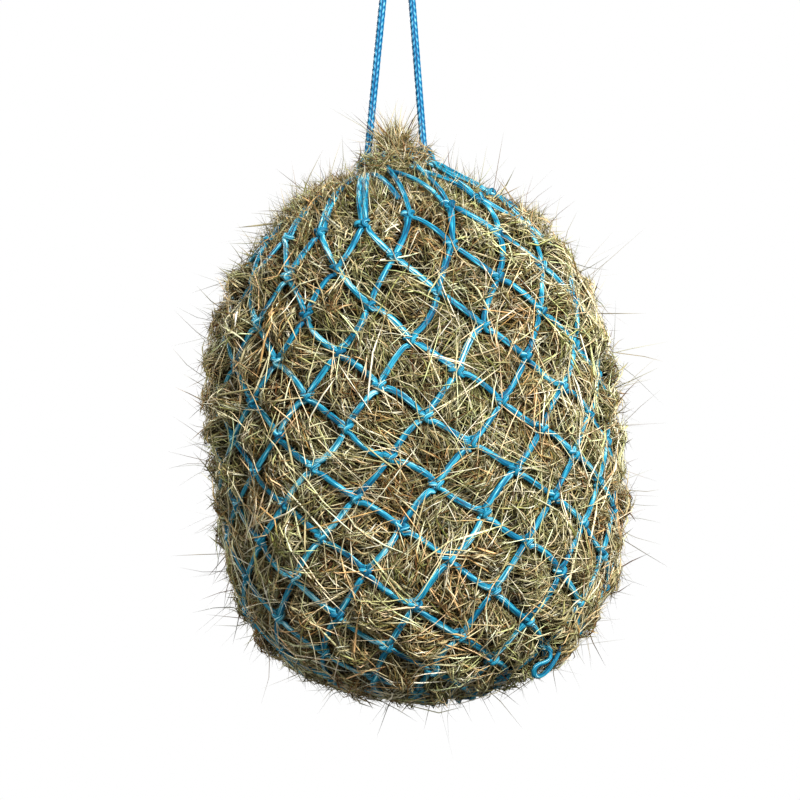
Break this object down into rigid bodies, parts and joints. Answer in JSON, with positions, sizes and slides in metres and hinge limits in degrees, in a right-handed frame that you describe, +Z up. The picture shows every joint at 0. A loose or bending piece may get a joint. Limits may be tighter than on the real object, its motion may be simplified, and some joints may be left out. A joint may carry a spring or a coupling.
{
  "type": "hay net",
  "caption": "Knotted diamond-mesh hay net of blue twine, filled with hay and hung from a hook by its braided drawcord.",
  "frame": {"origin": "centre of the drawcord's bend over the hook that carries the net", "axes": "+Z up along the hang, +X to the right seen from the front, the front faces -Y"},
  "size_m": [0.4209, 0.4151, 0.7608],
  "materials": {
    "twine": "laid polypropylene netting twine, slightly glossy",
    "drawcord": "braided polypropylene cord, slightly glossy",
    "hay": "dry meadow hay, straw and olive stems"
  },
  "bodies": {
    "hook_bend": {"drawcord_bend": "drawcord"},
    "drawcord_legs": {"drawcord_left_leg": "drawcord", "drawcord_right_leg": "drawcord", "drawcord_right_end": "drawcord", "joining_knot": "drawcord", "drawcord_tail_back": "drawcord", "drawcord_tail_front": "drawcord"},
    "filled_net": {"bottom_cord": "twine", "bottom_knot": "twine", "hay_fill": "hay", "hay_tuft": "hay", "loose_stems": "hay", "mouth_cord": "drawcord", "net_course_01": "twine", "net_course_02": "twine", "net_course_03": "twine", "net_course_04": "twine", "net_course_05": "twine", "net_course_06": "twine", "net_course_07": "twine", "net_course_08": "twine", "net_course_09": "twine", "net_course_10": "twine", "net_course_11": "twine", "net_course_12": "twine", "net_course_13": "twine", "net_course_14": "twine", "net_course_15": "twine", "net_course_16": "twine", "net_knots_01": "twine", "net_knots_02": "twine", "net_knots_03": "twine", "net_knots_04": "twine", "net_knots_05": "twine", "net_knots_06": "twine", "net_knots_07": "twine", "net_knots_08": "twine", "net_knots_09": "twine", "net_knots_10": "twine", "net_knots_11": "twine", "net_knots_12": "twine", "net_knots_13": "twine", "net_knots_14": "twine", "net_knots_15": "twine"},
    "slack_loop": {"slack_loop": "twine"}
  },
  "joints": [
    {"name": "cord_sway", "type": "hinge", "parent": "hook_bend", "child": "drawcord_legs", "pos_m": [0, 0, 0], "axis": [0, 1, 0], "range_deg": [-12, 12]},
    {"name": "net_swing", "type": "hinge", "parent": "drawcord_legs", "child": "filled_net", "pos_m": [-0.00975, 0, -0.22235], "axis": [0.9883, 0, 0.1525], "range_deg": [-30, 30]},
    {"name": "slack_loop_swing", "type": "hinge", "parent": "filled_net", "child": "slack_loop", "pos_m": [0.10904, -0.09641, -0.67404], "axis": [0.7443, -0.6679, 0], "range_deg": [-25, 25]}
  ]
}
